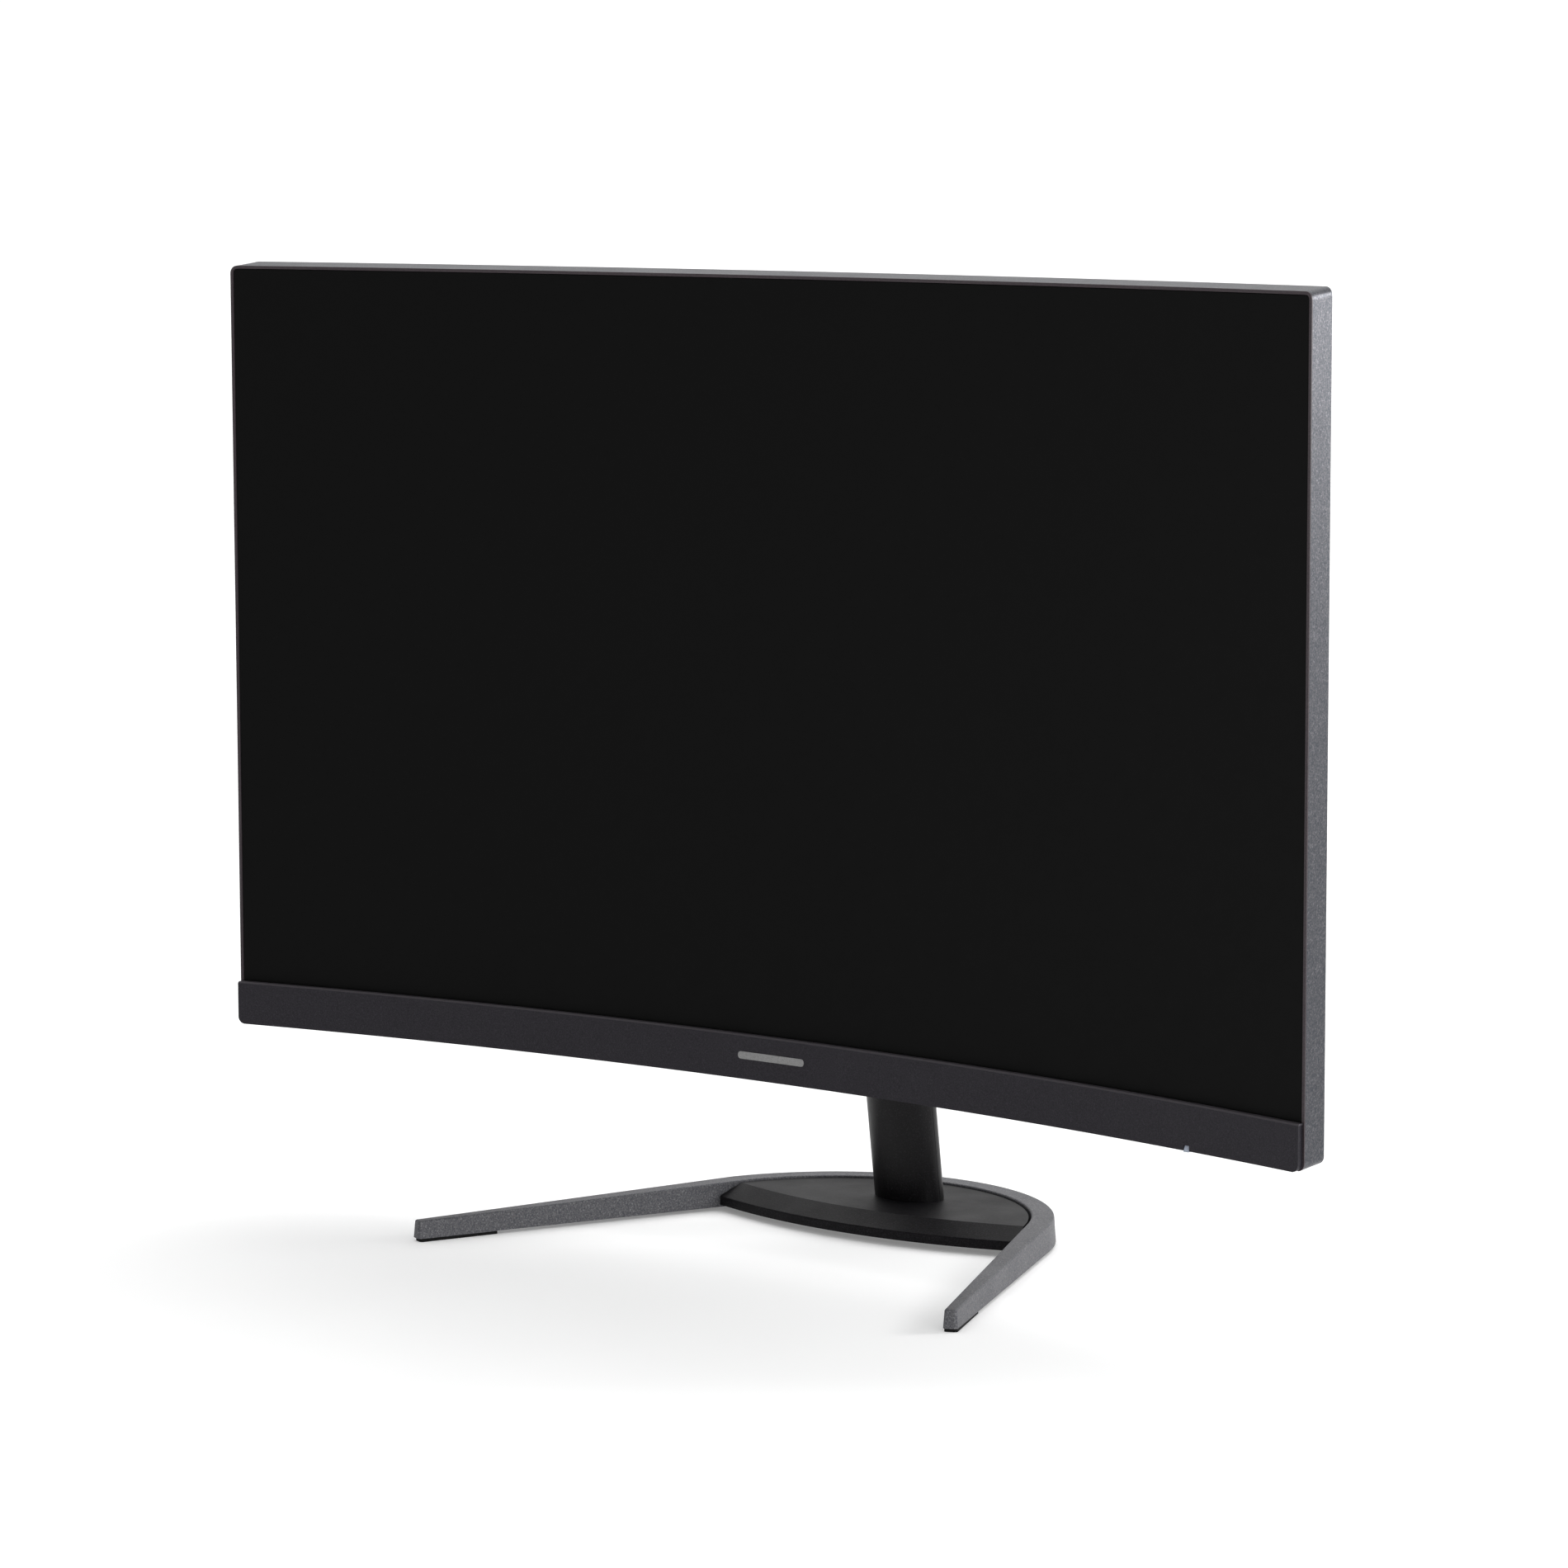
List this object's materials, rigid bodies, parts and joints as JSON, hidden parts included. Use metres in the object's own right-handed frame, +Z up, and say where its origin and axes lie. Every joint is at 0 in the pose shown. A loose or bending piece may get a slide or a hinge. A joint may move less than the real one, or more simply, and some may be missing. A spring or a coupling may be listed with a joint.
{
  "type": "computer monitor",
  "caption": "Curved desktop monitor with a slim metal-look edge, a proud lower bezel and a tilting display on a leaning neck and an open ring-and-leg stand.",
  "frame": {"origin": "on the desk, at the centre of the footprint, under the middle of the screen", "axes": "+Z up, +X to the viewer's right, the screen faces -Y"},
  "size_m": [0.6094, 0.2199, 0.4468],
  "materials": {
    "frame_metal": "fine metallic satin",
    "lip_plastic": "dark satin",
    "chin_plastic": "fine brushed grain",
    "badge_plastic": "satin",
    "light_pipe": "clear",
    "screen_glass": "anti-glare",
    "film": "frosted",
    "light_guide": "clear",
    "led_strip": "white",
    "inner_plastic": "plain",
    "sheet_steel": "zinc plated",
    "circuit_board": "solder mask",
    "socket_steel": "nickel plated",
    "socket_plastic": "plain",
    "screw_steel": "blackened",
    "cable_flat": "plain",
    "back_plastic": "textured",
    "hinge_steel": "turned",
    "neck_plastic": "fine texture",
    "base_metal": "fine metallic satin",
    "plate_plastic": "fine texture",
    "pad_rubber": "plain",
    "key_plastic": "satin"
  },
  "bodies": {
    "stand": {"base_frame": "base_metal", "base_plate": "plate_plastic", "base_weight": "sheet_steel", "foot_pad_front_left": "pad_rubber", "foot_pad_front_right": "pad_rubber", "foot_pads_rear": "pad_rubber", "base_screws": "screw_steel", "neck_front_cover": "neck_plastic", "neck_rear_cover": "neck_plastic", "neck_post": "sheet_steel", "neck_foot": "sheet_steel", "hinge_stand_bracket": "hinge_steel", "hinge_shaft": "hinge_steel", "hinge_washers": "hinge_steel", "hinge_nuts": "hinge_steel", "neck_screws": "screw_steel", "thumb_screw": "screw_steel"},
    "display": {"side_frame": "frame_metal", "screen_lip": "lip_plastic", "chin_bezel": "chin_plastic", "chin_badge": "badge_plastic", "led_light_pipe": "light_pipe", "lcd_glass": "screen_glass", "optical_films": "film", "light_guide_plate": "light_guide", "reflector_sheet": "film", "led_bar": "led_strip", "panel_mid_frame": "inner_plastic", "panel_back_tray": "sheet_steel", "source_driver_board": "circuit_board", "timing_controller_board": "circuit_board", "main_chassis": "sheet_steel", "main_board": "circuit_board", "power_board": "circuit_board", "board_screws": "screw_steel", "io_plates": "sheet_steel", "hdmi_socket_1": "socket_steel", "hdmi_socket_2": "socket_steel", "displayport_socket": "socket_steel", "headphone_jack": "socket_plastic", "dc_power_jack": "socket_plastic", "vesa_bracket": "sheet_steel", "hinge_display_bracket": "hinge_steel", "hinge_bracket_screws": "screw_steel", "hinge_caps": "neck_plastic", "rear_cover": "back_plastic", "middle_cover": "back_plastic", "rear_cover_screws": "screw_steel", "panel_ribbon_cable": "cable_flat", "menu_key_board": "circuit_board", "menu_key_holder": "inner_plastic"},
    "thumb_screw_bail": {"thumb_screw_bail": "screw_steel"},
    "menu_key_ring": {"menu_key_ring": "inner_plastic"},
    "menu_key_stem": {"menu_key_stem": "inner_plastic"},
    "menu_key_cap": {"menu_key_cap": "key_plastic"}
  },
  "joints": [
    {"name": "tilt", "type": "hinge", "parent": "stand", "child": "display", "pos_m": [0, 0.03616, 0.225], "axis": [-1, 0, 0], "range_deg": [-5, 20]},
    {"name": "bail_fold", "type": "hinge", "parent": "stand", "child": "thumb_screw_bail", "pos_m": [0, 0.0653, 0.00175], "axis": [1, 0, 0], "range_deg": [0, 90]},
    {"name": "menu_key_left_right", "type": "hinge", "parent": "display", "child": "menu_key_ring", "pos_m": [0.238, -0.03982, 0.112], "axis": [0, 0, 1], "range_deg": [-6, 6], "stiffness_Nm_per_rad": 0.06},
    {"name": "menu_key_up_down", "type": "hinge", "parent": "menu_key_ring", "child": "menu_key_stem", "pos_m": [0.238, -0.03982, 0.112], "axis": [0.9876, -0.1572, 0], "range_deg": [-6, 6], "stiffness_Nm_per_rad": 0.06},
    {"name": "menu_key_press", "type": "slide", "parent": "menu_key_stem", "child": "menu_key_cap", "axis": [-0.1572, -0.9876, 0], "range_m": [0, 0.0008], "stiffness_N_per_m": 1500}
  ]
}
